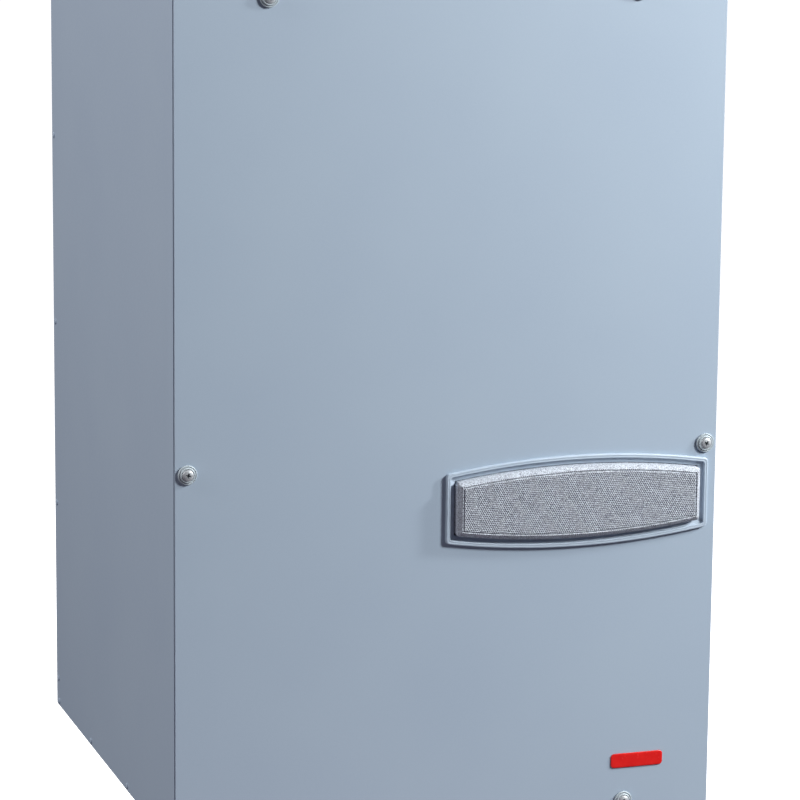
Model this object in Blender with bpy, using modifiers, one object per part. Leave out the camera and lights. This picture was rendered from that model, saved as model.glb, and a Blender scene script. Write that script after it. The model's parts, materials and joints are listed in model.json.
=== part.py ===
"""Heat recovery unit: a wall-hung ventilation cabinet, seen from the front at -Y, with +Z up, in metres.

A powder-coated sheet-steel cabinet holds two foam blocks. A cross-flow exchanger stands on its corner
in the upper one; two filters and two fans sit in the lower one. The flat front cover is held by six
screws in cup washers, and the right filter is reached through a bowed plastic bezel that a foam cap
closes. The origin is the centre of the wall bracket's rear face, where the unit hangs.
"""

import math

import bmesh
import bpy

# --- Driving dimensions of the cabinet.
# Cabinet coordinates have x = 0 at the middle, y = 0 at the back and z = 0 below.
WIDTH = 0.600
DEPTH = 0.564
HEIGHT = 0.900
HALF = WIDTH / 2
FRONT = -DEPTH
WALL_GAP = 0.025  # from the cabinet's back to the wall
BRACKET_Z = 0.780  # height of the wall bracket's middle above the cabinet's bottom

GAP = 0.0003  # between pieces that touch
SHEET = 0.001
COVER_SHEET = 0.002
GASKET = 0.003
GASKET_X = (-0.298, 0.298)
GASKET_Z = (0.002, 0.898)
END_FLANGE = 0.026  # front flanges of the top and bottom panels
EDGE_FLANGE = 0.018  # front flanges of the side panels
COVER_BACK = FRONT + COVER_SHEET
FLANGE_FRONT = COVER_BACK + GASKET + 2 * GAP
SIDE_FLANGE = 0.020

# --- Front cover: screws with cup washers, the bowed bezel and the cap in it.
SCREW_X = 0.287
SCREW_Z = 0.403
END_SCREW_X = 0.201
END_SCREW_INSET = 0.010
SCREW_RADIUS = 0.003
SCREW_HEAD = 0.0062
WASHER_RADIUS = 0.0100
SCREW_HOLE = 0.0034
SCREW_TIP = FRONT + 0.018
SCREW_PLACES = {
    "left": (-SCREW_X, SCREW_Z),
    "right": (SCREW_X, SCREW_Z),
    "top_left": (-END_SCREW_X, HEIGHT - END_SCREW_INSET),
    "top_right": (END_SCREW_X, HEIGHT - END_SCREW_INSET),
    "bottom_left": (-END_SCREW_X, END_SCREW_INSET),
    "bottom_right": (END_SCREW_X, END_SCREW_INSET),
}

BEZEL_X = 0.1415
BEZEL_Z = 0.3488
BEZEL_HALF_WIDTH = 0.1485
BEZEL_MIDDLE_HALF_HEIGHT = 0.0497
BEZEL_END_HALF_HEIGHT = 0.0375
BEZEL_CORNER = 0.004
BEZEL_PROUD = 0.0044
BEZEL_RIM = 0.0046
BEZEL_EDGE = 0.0014  # radius of the rim's outer edge
BEZEL_FLOOR = 0.0015
BEZEL_OPENING = 0.0097  # insets from the bezel's outer edge
BEZEL_SLEEVE = 0.0085
CAP_INSET = 0.0105
COVER_OPENING = 0.0082
PAD_OPENING = 0.0076
CAP_BEVEL = 0.006
CAP_BEVEL_DEPTH = 0.0047
CAP_FRONT = FRONT - 0.0125
BADGE_SIZE = (0.060, 0.016)
BADGE_AT = (0.216, 0.055)
BADGE_THICK = 0.001

# --- Hanging on the wall.
BRACKET_SHEET = 0.002
BRACKET_HALF = 0.250
BRACKET_HALF_HEIGHT = 0.030
WALL_SCREW_X = 0.200
WALL_SCREW_HOLE = 0.0045
LIP_Y = 0.012  # the bracket's lip stands this far behind the cabinet
LIP_RISE = 0.012
RAIL_HALF = 0.240
RAIL_LOW = BRACKET_Z - 0.020
RAIL_TOP = BRACKET_Z + 0.070
RAIL_Y = 0.019
RAIL_LIP_LOW = BRACKET_Z + 0.046
BUFFER_AT = (0.230, 0.060)
BUFFER_RADIUS = 0.015

# --- Foam blocks and the ducts through them.
FOAM_HALF = 0.296
FOAM_FRONT = -0.5365
FOAM_BACK = -0.0015
FOAM_JOINT = 0.400
PAD_BACK = FOAM_FRONT - 0.0005
CAP_BACK = PAD_BACK - 0.001
PAD_HALF = 0.2815
PAD_EDGE = 0.028
POCKET_BACK = -0.190
POCKET_HALF = 0.272
POCKET_TOP = 0.836
SPIGOT_X = 0.150
SPIGOT_REAR_Y = -0.120
SPIGOT_FRONT_Y = -0.420
SPIGOT_RADIUS = 0.079
SPIGOT_BORE = 0.075
SPIGOT_TOP = HEIGHT + 0.045
DUCT_HALF_WIDTH = 0.085
DUCT_Y = (-0.150, -0.045)

SPIGOTS = {
    "extract": (SPIGOT_X, SPIGOT_REAR_Y),
    "outdoor": (-SPIGOT_X, SPIGOT_REAR_Y),
    "supply": (SPIGOT_X, SPIGOT_FRONT_Y),
    "exhaust": (-SPIGOT_X, SPIGOT_FRONT_Y),
}
SPIGOT_FLANGE = 0.090
SPIGOT_FLANGE_THICK = 0.003
SPIGOT_FOOT = HEIGHT - 0.028
DUCT_LOW = 0.085
VENT_X = (0.064, 0.248)
VENT_Y = (-0.510, -0.205)
BYPASS_CHANNEL = (0.230, 0.055, 0.030)  # half length, half width and depth

# --- Exchanger, condensate and cable inlet.
EXCHANGER_Z = 0.620
EXCHANGER_SIDE = 0.300
EXCHANGER_Y = (-0.516, -0.204)
EXCHANGER_PLATE = 0.006
PLATE_SIDE = 0.304
RAIL_REACH = 0.035
RAIL_Y_ENDS = (-0.530, -0.192)
STRAP_HALF = 0.095
STRAP_HALF_WIDTH = 0.0125
STRAP_RISE = 0.009
STRAP_THICK = 0.0015
TRAY_HALF = 0.058
TRAY_Z = (0.383, 0.399)
TRAY_Y = (-0.530, -0.200)
DRAIN_AT = (-0.007, -0.370)
DRAIN_BORE = 0.008
DRAIN_PIPE = 0.010
DRAIN_STUB = 0.016
DRAIN_END = -0.032
TRAY_WALL = 0.002
GLAND_AT = (-0.150, -0.505)
GLAND_NECK = 0.009
GLAND_BODY = 0.013
GLAND_TOP = 0.006
GLAND_NUT = 0.012
GLAND_LENGTH = 0.018
GLAND_BORE = 0.004

# --- Filters, fans, bypass flap and control box.
FILTER_SIZE = (0.248, 0.330, 0.045)
FILTER_WALL = 0.006
FILTER_REAR = -0.195
FILTER_LOW = 0.328
FILTER_CLEARANCE = 0.004
FILTER_CENTRES = {"right": 0.137, "left": -0.148}
TAB_HALF = 0.022
TAB_REACH = 0.009
TAB_THICK = 0.0015

FAN_Z = 0.150
FAN_CENTRES = {"exhaust": 0.143, "supply": -0.149}
FAN_REAR = POCKET_BACK - 0.0006
FAN_WALL = 0.003
FAN_DEPTH = 0.094
SCROLL_START = 0.093
SCROLL_END = 0.122
SCROLL_TONGUE = math.radians(45)
SCROLL_TOP = 0.135
SCROLL_OUTLET = 0.058
CHAMBER_HALF = 0.125
CHAMBER_Z = (0.022, 0.310)
FAN_INLET_WAY = 0.060
WHEEL_RADIUS = 0.085
WHEEL_EYE = 0.055
WHEEL_BORE = 0.0053
WHEEL_HUB = 0.014
BLADES = 9
INLET_RADIUS = 0.053
INLET_BORE = 0.050
MOTOR_RADIUS = 0.040
MOTOR_DEPTH = 0.030
SHAFT_RADIUS = 0.005

FLAP_AXIS = (-0.2007, 0.816)  # y and z of the bypass flap's axle
FLAP_X = (-0.241, -0.133)
FLAP_LOW = 0.746
FLAP_HALF_THICK = 0.0012
AXLE_X = (-0.250, -0.112)
AXLE_RADIUS = 0.0023
AXLE_HOLE = 0.0029
BYPASS_FRAME_X = (-0.255, -0.121)
BYPASS_FRAME_Z = (0.735, 0.829)
BYPASS_FRAME_DEPTH = 0.0056
BYPASS_OPENING_X = (-0.235, -0.139)
BYPASS_OPENING_Z = (0.753, 0.806)
BYPASS_EARS_X = (-0.247, -0.131)
EAR_THICK = 0.004
ACTUATOR_X = (-0.117, -0.080)
ACTUATOR_FRONT = -0.226
ACTUATOR_Z = (0.798, 0.830)

BOX_X = (-0.262, -0.036)
BOX_Y = (-0.531, -0.478)
BOX_Z = (0.030, 0.235)
BOX_WALL = 0.002
BOARD_MARGIN = 0.007
BOARD_Y = (-0.4995, -0.4979)

BEFORE_FRONT = FRONT - 0.05  # where the cutters of the foam's open pockets begin

ROUND = 36  # sides of a large round piece
SMALL_ROUND = 20
FINE_ROUND = 14

COLOURS = {  # colour, roughness, metallic
    "powder_coat": ((0.36, 0.44, 0.53), 0.42, 0.0),
    "bezel_plastic": ((0.42, 0.52, 0.62), 0.40, 0.0),
    "cap_foam": ((0.26, 0.27, 0.30), 0.90, 0.0),
    "black_foam": ((0.035, 0.036, 0.04), 0.92, 0.0),
    "zinc": ((0.72, 0.73, 0.75), 0.25, 1.0),
    "washer_metal": ((0.62, 0.66, 0.71), 0.35, 0.3),
    "gasket_rubber": ((0.13, 0.135, 0.15), 0.85, 0.0),
    "galvanised": ((0.55, 0.57, 0.59), 0.42, 0.9),
    "dark_plastic": ((0.06, 0.065, 0.07), 0.55, 0.0),
    "white_plastic": ((0.72, 0.74, 0.75), 0.50, 0.0),
    "exchanger_plastic": ((0.75, 0.80, 0.84), 0.45, 0.0),
    "filter_card": ((0.70, 0.66, 0.58), 0.90, 0.0),
    "filter_fleece": ((0.82, 0.84, 0.85), 0.95, 0.0),
    "board_green": ((0.03, 0.20, 0.09), 0.50, 0.0),
    "badge_red": ((0.62, 0.02, 0.02), 0.35, 0.0),
    "strap_webbing": ((0.08, 0.12, 0.30), 0.90, 0.0),
}


def clear_scene():
    for old in list(bpy.data.objects):
        bpy.data.objects.remove(old, do_unlink=True)


def new_collection(name, hidden=False):
    collection = bpy.data.collections.new(name)
    collection.hide_render = hidden
    bpy.context.scene.collection.children.link(collection)
    return collection


clear_scene()
PARTS = new_collection("heat_recovery_unit")
CUTTERS = new_collection("cutters", hidden=True)

CABINET = bpy.data.objects.new("cabinet_frame", None)
CABINET.location = (0, -WALL_GAP, -BRACKET_Z)
PARTS.objects.link(CABINET)


def finish_of(slot):
    material = bpy.data.materials.get(slot)
    if material:
        return material
    colour, roughness, metallic = COLOURS[slot]
    material = bpy.data.materials.new(slot)
    material.use_nodes = True
    shader = material.node_tree.nodes["Principled BSDF"]
    shader.inputs["Base Color"].default_value = (*colour, 1)
    shader.inputs["Roughness"].default_value = roughness
    shader.inputs["Metallic"].default_value = metallic
    return material


def place(name, mesh, slot=None, at=(0, 0, 0), turn=(0, 0, 0)):
    """An object in cabinet coordinates: a part where it has a finish, and otherwise a cutter."""
    obj = bpy.data.objects.new(name, mesh)
    obj.location = at
    obj.rotation_euler = turn
    obj.parent = CABINET
    if slot:
        mesh.materials.append(finish_of(slot))
        PARTS.objects.link(obj)
    else:
        obj.hide_render = True
        obj.display_type = "WIRE"
        CUTTERS.objects.link(obj)
    return obj


def mesh_from(name, bm):
    mesh = bpy.data.meshes.new(name)
    bm.to_mesh(mesh)
    bm.free()
    return mesh


def box(name, x, y, z, slot=None):
    """A block between two values on each axis, with its origin at its middle."""
    size = [abs(b - a) for a, b in (x, y, z)]
    middle = [(a + b) / 2 for a, b in (x, y, z)]
    bm = bmesh.new()
    bmesh.ops.create_cube(bm, size=1)
    bmesh.ops.scale(bm, vec=size, verts=bm.verts)
    return place(name, mesh_from(name, bm), slot, middle)


TURNS = {"x": (0, math.pi / 2, 0), "y": (math.pi / 2, 0, 0), "z": (0, 0, 0)}


def rod(name, radius, start, end, axis="z", slot=None, sides=FINE_ROUND):
    """A cylinder from start, along the named axis, to that axis's value in end."""
    index = "xyz".index(axis)
    length = abs(end - start[index])
    middle = list(start)
    middle[index] = (start[index] + end) / 2
    bm = bmesh.new()
    bmesh.ops.create_cone(
        bm, cap_ends=True, segments=sides, radius1=radius, radius2=radius, depth=length
    )
    return place(name, mesh_from(name, bm), slot, middle, TURNS[axis])


def turned(name, profile, at, axis, slot, sides, ring=False):
    """A Screw of (radius, height) points down the outer side; height is along +Z, or -Y for axis y."""
    bm = bmesh.new()
    points = [bm.verts.new((radius, 0, height)) for radius, height in profile]
    for start, end in zip(points, points[1:]):
        bm.edges.new((start, end))
    if ring:
        bm.edges.new((points[-1], points[0]))
    obj = place(name, mesh_from(name, bm), slot, at, TURNS[axis])
    screw = obj.modifiers.new("turn", "SCREW")
    screw.steps = sides
    screw.render_steps = sides
    screw.use_merge_vertices = True
    screw.merge_threshold = 0.00001
    return obj


def strip(name, profile, ends, axis, thickness, slot, side=-1):
    """A folded sheet: an open (a, b) profile drawn along an axis, thickened to one side of it.

    The profile is (x, y) for axis z and (y, z) for axis x.
    """
    bm = bmesh.new()
    rows = []
    for end in ends:
        if axis == "z":
            rows.append([bm.verts.new((a, b, end)) for a, b in profile])
        else:
            rows.append([bm.verts.new((end, a, b)) for a, b in profile])
    for i in range(len(profile) - 1):
        bm.faces.new((rows[0][i], rows[0][i + 1], rows[1][i + 1], rows[1][i]))
    obj = place(name, mesh_from(name, bm), slot)
    thicken(obj, thickness, side)
    return obj


def thicken(obj, thickness, side):
    solid = obj.modifiers.new("thickness", "SOLIDIFY")
    solid.thickness = thickness
    solid.offset = side
    solid.use_even_offset = True


def folded_plate(name, outline, folds, at, turn, slot):
    """A sheet with flanges: an outline facing up, and (edge, height) folds down from its edges."""
    bm = bmesh.new()
    rim = [bm.verts.new((x, y, 0)) for x, y in outline]
    bm.faces.new(rim)
    for edge, height in folds:
        a, b = rim[edge], rim[(edge + 1) % len(rim)]
        low_a, low_b = (bm.verts.new((p.co.x, p.co.y, -height)) for p in (a, b))
        bm.faces.new((b, a, low_a, low_b))
    obj = place(name, mesh_from(name, bm), slot, at, turn)
    thicken(obj, SHEET, -1)
    obj.modifiers["thickness"].solidify_mode = "NON_MANIFOLD"
    return obj


def outline_mesh(name, outline, thickness):
    """A flat outline as a filled 2D curve, thickened to both sides of its plane and made a mesh."""
    curve = bpy.data.curves.new(name, "CURVE")
    curve.dimensions = "2D"
    curve.fill_mode = "BOTH"
    curve.extrude = thickness / 2
    spline = curve.splines.new("POLY")
    spline.points.add(len(outline) - 1)
    for point, (x, y) in zip(spline.points, outline):
        point.co = (x, y, 0, 1)
    spline.use_cyclic_u = True
    drawn = bpy.data.objects.new(name, curve)
    bpy.context.scene.collection.objects.link(drawn)
    graph = bpy.context.evaluated_depsgraph_get()
    mesh = bpy.data.meshes.new_from_object(drawn.evaluated_get(graph))
    bpy.data.objects.remove(drawn, do_unlink=True)
    bm = bmesh.new()
    bm.from_mesh(mesh)
    bmesh.ops.remove_doubles(bm, verts=bm.verts, dist=0.000001)
    bmesh.ops.recalc_face_normals(bm, faces=bm.faces)
    bm.to_mesh(mesh)
    bm.free()
    return mesh


def front_outline(name, outline, y, slot=None, at=(0, 0)):
    """A prism of an (x, z) outline between two depths, about the point at."""
    mesh = outline_mesh(name, outline, abs(y[1] - y[0]))
    return place(name, mesh, slot, (at[0], (y[0] + y[1]) / 2, at[1]), TURNS["y"])


def lofted(name, sections, slot, at):
    """A closed form through (outline, y) sections of equally many points, from the back to the front."""
    bm = bmesh.new()
    rows = [[bm.verts.new((x, y, z)) for x, z in outline] for outline, y in sections]
    for back, front in zip(rows, rows[1:]):
        for i in range(len(back)):
            j = (i + 1) % len(back)
            bm.faces.new((back[i], back[j], front[j], front[i]))
    bm.faces.new(rows[0][::-1])
    bm.faces.new(rows[-1])
    bmesh.ops.recalc_face_normals(bm, faces=bm.faces)
    return place(name, mesh_from(name, bm), slot, (at[0], 0, at[1]))


def combine(obj, others, operation):
    for other in others:
        modifier = obj.modifiers.new(other.name, "BOOLEAN")
        modifier.operation = operation
        modifier.object = other
        modifier.solver = "EXACT"
    return obj


def cut(obj, *cutters):
    return combine(obj, cutters, "DIFFERENCE")


def join(obj, *others):
    return combine(obj, others, "UNION")


# --- Cabinet --------------------------------------------------------------------------------------


def screw_hole(name, x, z):
    return rod(f"{name}_hole", SCREW_HOLE, (x, FRONT - 0.01, z), SCREW_TIP, "y")


def side_panel(name, side):
    """A sheet with its front edge folded inwards, behind the cover's edge."""
    profile = [(side * (HALF - EDGE_FLANGE), FLANGE_FRONT), (side * HALF, FLANGE_FRONT), (side * HALF, 0)]
    panel = strip(name, profile, (0, HEIGHT), "z", SHEET, "powder_coat", side=-side)
    return cut(panel, screw_hole(name, side * SCREW_X, SCREW_Z))


def end_panel(name, z, turn):
    """The top or bottom sheet. Its front flange stands between the side panels' flanges."""
    inner = HALF - EDGE_FLANGE - GAP
    outer = HALF - SHEET - GAP
    outline = [
        (-outer, -0.030),
        (-outer, -0.540),
        (-outer, FLANGE_FRONT + SHEET + GAP),
        (-inner, FLANGE_FRONT + SHEET + GAP),
        (-inner, FLANGE_FRONT),
        (inner, FLANGE_FRONT),
        (inner, FLANGE_FRONT + SHEET + GAP),
        (outer, FLANGE_FRONT + SHEET + GAP),
        (outer, -0.540),
        (outer, -0.030),
        (outer, 0),
        (-outer, 0),
    ]
    folds = [(0, SIDE_FLANGE), (4, END_FLANGE), (8, SIDE_FLANGE)]
    panel = folded_plate(name, outline, folds, (0, 0, z), turn, "powder_coat")
    holes = [
        screw_hole(f"{name}_{where}", *at)
        for where, at in SCREW_PLACES.items()
        if abs(at[1] - z) < END_FLANGE
    ]
    return cut(panel, *holes)


def cabinet():
    side_panel("left_side_panel", -1)
    side_panel("right_side_panel", 1)
    edge = HALF - SHEET - GAP
    strip(
        "back_panel",
        [(-edge, -SIDE_FLANGE), (-edge, 0), (edge, 0), (edge, -SIDE_FLANGE)],
        (SHEET + GAP, HEIGHT - SHEET - GAP),
        "z",
        SHEET,
        "powder_coat",
        side=1,
    )
    top = end_panel("top_panel", HEIGHT, (0, 0, 0))
    bottom = end_panel("bottom_panel", 0, (0, math.pi, 0))
    for name, (x, y) in SPIGOTS.items():
        start = (x, y, HEIGHT - 0.01)
        cut(top, rod(f"{name}_panel_hole", SPIGOT_RADIUS + 0.0012, start, HEIGHT + 0.01, sides=ROUND))
    cut(
        bottom,
        rod("drain_hole", DRAIN_PIPE + 0.001, (*DRAIN_AT, -0.01), 0.01, sides=SMALL_ROUND),
        rod("gland_hole", GLAND_NECK + 0.001, (*GLAND_AT, -0.01), 0.01, sides=SMALL_ROUND),
    )
    gasket_y = (COVER_BACK + GAP, COVER_BACK + GAP + GASKET)
    gasket = box("front_gasket", GASKET_X, gasket_y, GASKET_Z, "gasket_rubber")
    cut(gasket, box("gasket_inside", (-0.2825, 0.2825), (FRONT - 0.01, FRONT + 0.02), (0.025, 0.875)))
    cut(gasket, *[screw_hole(f"gasket_{where}", *at) for where, at in SCREW_PLACES.items()])


# --- Hanging on the wall --------------------------------------------------------------------------

def wall_fixing():
    """A bracket screwed to the wall, whose lip the unit's own rail hooks over, and two rubber buffers."""
    bracket = strip(
        "wall_bracket",
        [
            (WALL_GAP, BRACKET_Z - BRACKET_HALF_HEIGHT),
            (WALL_GAP, BRACKET_Z + BRACKET_HALF_HEIGHT),
            (LIP_Y, BRACKET_Z + BRACKET_HALF_HEIGHT + LIP_RISE),
            (LIP_Y, RAIL_TOP - BRACKET_SHEET - GAP),
        ],
        (-BRACKET_HALF, BRACKET_HALF),
        "x",
        BRACKET_SHEET,
        "galvanised",
        side=-1,
    )
    for x in (-WALL_SCREW_X, WALL_SCREW_X):
        cut(bracket, rod("wall_screw_hole", WALL_SCREW_HOLE, (x, LIP_Y, BRACKET_Z), WALL_GAP + 0.01, "y"))
    strip(
        "hanging_rail",
        [
            (GAP, RAIL_LOW),
            (GAP, RAIL_TOP),
            (RAIL_Y, RAIL_TOP),
            (RAIL_Y, RAIL_LIP_LOW),
        ],
        (-RAIL_HALF, RAIL_HALF),
        "x",
        BRACKET_SHEET,
        "galvanised",
        side=1,
    )
    for name, side in (("left", -1), ("right", 1)):
        x, z = side * BUFFER_AT[0], BUFFER_AT[1]
        rod(f"wall_buffer_{name}", BUFFER_RADIUS, (x, GAP, z), WALL_GAP, "y", "gasket_rubber", SMALL_ROUND)


# --- Ducts, drain and cable inlet -----------------------------------------------------------------

def spigots():
    flange_low = HEIGHT + GAP
    profile = [
        (SPIGOT_RADIUS, SPIGOT_TOP),
        (SPIGOT_RADIUS, flange_low + SPIGOT_FLANGE_THICK),
        (SPIGOT_FLANGE, flange_low + SPIGOT_FLANGE_THICK),
        (SPIGOT_FLANGE, flange_low),
        (SPIGOT_RADIUS, flange_low),
        (SPIGOT_RADIUS, SPIGOT_FOOT),
        (SPIGOT_BORE, SPIGOT_FOOT),
        (SPIGOT_BORE, SPIGOT_TOP),
    ]
    for name, (x, y) in SPIGOTS.items():
        turned(f"{name}_spigot", profile, (x, y, 0), "z", "dark_plastic", ROUND, ring=True)


def drain():
    tray = box("condensate_tray", (-TRAY_HALF, TRAY_HALF), TRAY_Y, TRAY_Z, "white_plastic")
    inside = box(
        "tray_inside",
        (-TRAY_HALF + TRAY_WALL, TRAY_HALF - TRAY_WALL),
        (TRAY_Y[0] + TRAY_WALL, TRAY_Y[1] - TRAY_WALL),
        (TRAY_Z[0] + TRAY_WALL, TRAY_Z[1] + 0.01),
    )
    outlet = rod("tray_outlet", DRAIN_BORE, (*DRAIN_AT, TRAY_Z[0] - 0.01), TRAY_Z[1], sides=SMALL_ROUND)
    cut(tray, inside, outlet)
    profile = [
        (DRAIN_PIPE, TRAY_Z[0] - GAP),
        (DRAIN_PIPE, -GAP),
        (DRAIN_STUB, -GAP),
        (DRAIN_STUB, DRAIN_END),
        (DRAIN_BORE, DRAIN_END),
        (DRAIN_BORE, TRAY_Z[0] - GAP),
    ]
    turned("condensate_drain", profile, (*DRAIN_AT, 0), "z", "dark_plastic", SMALL_ROUND, ring=True)


def cable_gland():
    profile = [
        (GLAND_BODY, GLAND_TOP),
        (GLAND_BODY, SHEET + GAP),
        (GLAND_NECK, SHEET + GAP),
        (GLAND_NECK, -GAP),
        (GLAND_BODY, -GAP),
        (GLAND_BODY, -GLAND_NUT),
        (GLAND_NECK, -GLAND_LENGTH),
        (GLAND_BORE, -GLAND_LENGTH),
        (GLAND_BORE, GLAND_TOP),
    ]
    turned("cable_gland", profile, (*GLAND_AT, 0), "z", "dark_plastic", SMALL_ROUND, ring=True)


# --- Foam blocks ----------------------------------------------------------------------------------

def duct_cutter(name, x, z):
    return box(name, (x - DUCT_HALF_WIDTH, x + DUCT_HALF_WIDTH), DUCT_Y, z)


def lower_foam():
    """The block with the two fan chambers, the two filter slots above them and the ducts behind."""
    body = box("lower_foam_block", (-FOAM_HALF, FOAM_HALF), (FOAM_FRONT, FOAM_BACK),
               (SHEET + 0.0004, FOAM_JOINT - GAP), "black_foam")
    slot_half = FILTER_SIZE[0] / 2 + FILTER_CLEARANCE
    slot_z = (FILTER_LOW - FILTER_CLEARANCE, FILTER_LOW + FILTER_SIZE[2] + FILTER_CLEARANCE)
    pocket_y = (BEFORE_FRONT, POCKET_BACK)
    above_joint = FOAM_JOINT + 0.01
    for side, name, filter_name in ((1, "exhaust", "right"), (-1, "supply", "left")):
        middle = FAN_CENTRES[name]
        slot_middle = FILTER_CENTRES[filter_name]
        cut(
            body,
            box(f"{name}_chamber", (middle - CHAMBER_HALF, middle + CHAMBER_HALF), pocket_y, CHAMBER_Z),
            box(f"{name}_slot", (slot_middle - slot_half, slot_middle + slot_half), pocket_y, slot_z),
            box(f"{name}_vent", [side * x for x in VENT_X], VENT_Y, (CHAMBER_Z[1] - 0.005, above_joint)),
            duct_cutter(f"{name}_duct", side * SPIGOT_X, (DUCT_LOW, above_joint)),
            rod(f"{name}_inlet", FAN_INLET_WAY, (middle, POCKET_BACK - 0.01, FAN_Z), DUCT_Y[0] + 0.01, "y",
                sides=ROUND),
        )
    cut(
        body,
        box("tray_seat", (-TRAY_HALF - 0.002, TRAY_HALF + 0.002), (BEFORE_FRONT, TRAY_Y[1] + 0.004),
            (TRAY_Z[0] - 0.001, FOAM_JOINT + 0.01)),
        rod("drain_way", DRAIN_PIPE + 0.0005, (*DRAIN_AT, -0.01), TRAY_Z[0] + 0.01, sides=SMALL_ROUND),
        rod("gland_way", GLAND_BODY + 0.003, (*GLAND_AT, -0.01), CHAMBER_Z[0] + 0.01, sides=SMALL_ROUND),
    )


def upper_foam():
    """The block round the exchanger, with the duct bores above it and the bypass channel behind it."""
    body = box("upper_foam_block", (-FOAM_HALF, FOAM_HALF), (FOAM_FRONT, FOAM_BACK),
               (FOAM_JOINT + GAP, HEIGHT - SHEET - 0.0004), "black_foam")
    pocket = box("exchanger_pocket", (-POCKET_HALF, POCKET_HALF), (BEFORE_FRONT, POCKET_BACK),
                 (FOAM_JOINT - 0.01, POCKET_TOP))
    length, width, depth = BYPASS_CHANNEL
    channel_y = (POCKET_BACK - 0.01, POCKET_BACK + depth)
    channel = box("bypass_channel", (-length, length), channel_y, (-width, width))
    channel.location.z = EXCHANGER_Z
    channel.rotation_euler.y = math.radians(45)
    cut(body, pocket, channel)
    for side in (-1, 1):
        x = side * SPIGOT_X
        bore = SPIGOT_RADIUS + 0.001
        cut(
            body,
            duct_cutter("upper_duct", x, (FOAM_JOINT - 0.01, POCKET_TOP + 0.01)),
            rod("rear_bore", bore, (x, SPIGOT_REAR_Y, POCKET_TOP), HEIGHT + 0.01, sides=ROUND),
            rod("front_bore", bore, (x, SPIGOT_FRONT_Y, POCKET_TOP - 0.01), HEIGHT + 0.01, sides=ROUND),
        )


# --- Exchanger ------------------------------------------------------------------------------------

def diamond(name, side, y, slot):
    obj = box(name, (-side / 2, side / 2), y, (-side / 2, side / 2), slot)
    obj.location.z = EXCHANGER_Z
    obj.rotation_euler.y = math.radians(45)
    return obj


def exchanger():
    """A square core standing on its corner between two end plates, with a strap to pull it out by."""
    front, rear = EXCHANGER_Y
    diamond("exchanger_core", EXCHANGER_SIDE, EXCHANGER_Y, "exchanger_plastic")
    plate_y = (front - GAP - EXCHANGER_PLATE, front - GAP)
    diamond("exchanger_front_frame", PLATE_SIDE, plate_y, "dark_plastic")
    diamond("exchanger_rear_frame", PLATE_SIDE, (rear + GAP, rear + GAP + EXCHANGER_PLATE), "dark_plastic")
    strap_back = front - 2 * GAP - EXCHANGER_PLATE
    half = [(STRAP_HALF, 0), (STRAP_HALF - 0.020, 0), (STRAP_HALF - 0.030, STRAP_RISE)]
    strip(
        "exchanger_strap",
        [(side * x, strap_back - rise) for side, run in ((-1, half), (1, half[::-1])) for x, rise in run],
        (EXCHANGER_Z - STRAP_HALF_WIDTH, EXCHANGER_Z + STRAP_HALF_WIDTH),
        "z",
        STRAP_THICK,
        "strap_webbing",
        side=1,
    )
    corner = PLATE_SIDE / math.sqrt(2) + 0.002
    for name, side in (("left", -1), ("right", 1)):
        outline = [
            (side * (POCKET_HALF - 0.0005), -RAIL_REACH),
            (side * (POCKET_HALF - 0.0005), RAIL_REACH),
            (side * (corner - RAIL_REACH), RAIL_REACH),
            (side * corner, 0),
            (side * (corner - RAIL_REACH), -RAIL_REACH),
        ]
        front_outline(f"exchanger_rail_{name}", outline, RAIL_Y_ENDS, "dark_plastic", (0, EXCHANGER_Z))


# --- Filters --------------------------------------------------------------------------------------


def filters():
    """A card frame round a pleated pad, with a pull tab in front."""
    width, length, height = FILTER_SIZE
    front = FILTER_REAR - length
    for name, middle in FILTER_CENTRES.items():
        x = (middle - width / 2, middle + width / 2)
        z = (FILTER_LOW, FILTER_LOW + height)
        frame = box(f"{name}_filter_frame", x, (front, FILTER_REAR), z, "filter_card")
        inner_x = (x[0] + FILTER_WALL, x[1] - FILTER_WALL)
        inner_y = (front + FILTER_WALL, FILTER_REAR - FILTER_WALL)
        cut(frame, box(f"{name}_frame_inside", inner_x, inner_y, (z[0] - 0.01, z[1] + 0.01)))
        tab_low = z[0] + (height - TAB_THICK) / 2
        tab_x, tab_y = (middle - TAB_HALF, middle + TAB_HALF), (front - TAB_REACH, front + 0.001)
        tab = box(f"{name}_pull_tab", tab_x, tab_y, (tab_low, tab_low + TAB_THICK))
        join(frame, tab)
        pad_x = (inner_x[0] + GAP, inner_x[1] - GAP)
        pad_y = (inner_y[0] + GAP, inner_y[1] - GAP)
        box(f"{name}_filter_media", pad_x, pad_y, (z[0] + 0.002, z[1] - 0.002), "filter_fleece")


# --- Fans -----------------------------------------------------------------------------------------


def scroll_outline(inset, top):
    """A spiral that widens from the tongue, once round, into an outlet that points up."""
    steps = 30
    points = []
    for i in range(steps + 1):
        part = i / steps
        angle = SCROLL_TONGUE + part * (2 * math.pi - SCROLL_TONGUE)
        radius = SCROLL_START + part * (SCROLL_END - SCROLL_START) - inset
        points.append((radius * math.cos(angle), radius * math.sin(angle)))
    points.append((SCROLL_END - inset, top))
    points.append((SCROLL_OUTLET + inset, top))
    return points


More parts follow.
